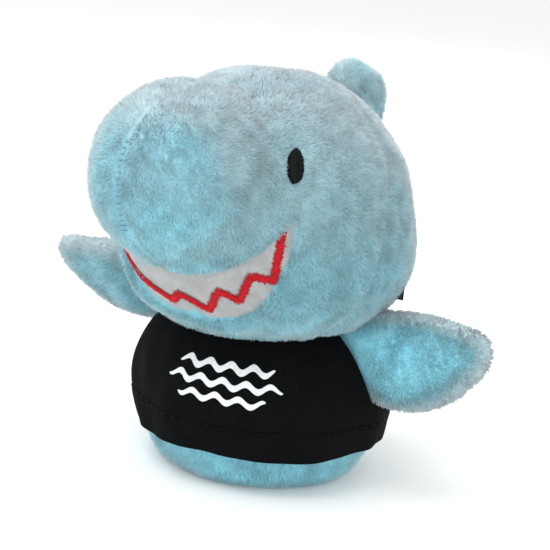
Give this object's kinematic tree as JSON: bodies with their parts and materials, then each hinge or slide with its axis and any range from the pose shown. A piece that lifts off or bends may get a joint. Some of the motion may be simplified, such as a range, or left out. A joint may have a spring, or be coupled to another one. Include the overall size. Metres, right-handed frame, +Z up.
{
  "type": "plush shark",
  "caption": "Small stuffed shark sitting upright on a weighted base, with a big round head, embroidered face, three soft fins and a plain knit shirt.",
  "frame": {"origin": "centre of the flat base that the toy sits on", "axes": "+Z up from the base, -Y out of the chest, +X towards the shark's own left side"},
  "size_m": [0.1247, 0.0906, 0.1018],
  "materials": {
    "plush_blue": "matte",
    "felt_white": "matte",
    "shirt_knit": "matte",
    "fibre_fill": "matte",
    "pouch_cloth": "matte",
    "pellet_plastic": "satin",
    "thread_black": "satin",
    "thread_red": "satin",
    "thread_blue": "satin",
    "print_film": "satin",
    "label_satin": "satin"
  },
  "bodies": {
    "torso": {"base_panel": "plush_blue", "body_back_panel": "plush_blue", "body_filling": "fibre_fill", "body_front_panel": "plush_blue", "chest_print": "print_film", "hem_stitching": "thread_black", "pellet_pouch": "pouch_cloth", "pellets": "pellet_plastic", "shirt_back_panel": "shirt_knit", "shirt_front_panel": "shirt_knit"},
    "neck": {"neck_filling": "fibre_fill"},
    "head": {"chin_panel": "plush_blue", "eye_left": "thread_black", "eye_right": "thread_black", "head_back_left_panel": "plush_blue", "head_back_right_panel": "plush_blue", "head_filling": "fibre_fill", "head_left_panel": "plush_blue", "head_right_panel": "plush_blue", "mouth_panel": "felt_white", "mouth_stitching": "thread_red", "sewn_label": "label_satin", "snout_seam_stitches": "thread_blue"},
    "dorsal_fin": {"dorsal_fin_filling": "fibre_fill", "dorsal_fin_left_panel": "plush_blue", "dorsal_fin_right_panel": "plush_blue"},
    "left_fin": {"left_fin_back_panel": "plush_blue", "left_fin_filling": "fibre_fill", "left_fin_front_panel": "plush_blue"},
    "right_fin": {"right_fin_back_panel": "plush_blue", "right_fin_filling": "fibre_fill", "right_fin_front_panel": "plush_blue"}
  },
  "joints": [
    {"name": "head_turn", "type": "hinge", "parent": "torso", "child": "neck", "pos_m": [0, 0, 0.04], "axis": [0, 0, 1], "range_deg": [-12, 12], "stiffness_Nm_per_rad": 0.3},
    {"name": "head_nod", "type": "hinge", "parent": "neck", "child": "head", "pos_m": [0, 0, 0.04], "axis": [0.9781, -0.2079, 0], "range_deg": [-4, 4], "stiffness_Nm_per_rad": 0.5},
    {"name": "left_fin_sweep", "type": "hinge", "parent": "torso", "child": "left_fin", "pos_m": [0.0314, -0.00253, 0.033], "axis": [-0.3246, 0.0261, 0.9455], "range_deg": [-18, 18], "stiffness_Nm_per_rad": 0.02},
    {"name": "right_fin_sweep", "type": "hinge", "parent": "torso", "child": "right_fin", "pos_m": [-0.03147, -0.00164, 0.03828], "axis": [0.3681, -0.5144, 0.7745], "range_deg": [-18, 18], "stiffness_Nm_per_rad": 0.02},
    {"name": "dorsal_fin_bend", "type": "hinge", "parent": "head", "child": "dorsal_fin", "pos_m": [0.00405, 0.01904, 0.09023], "axis": [0.1391, 0.6545, -0.7431], "range_deg": [-15, 15], "stiffness_Nm_per_rad": 0.01}
  ]
}
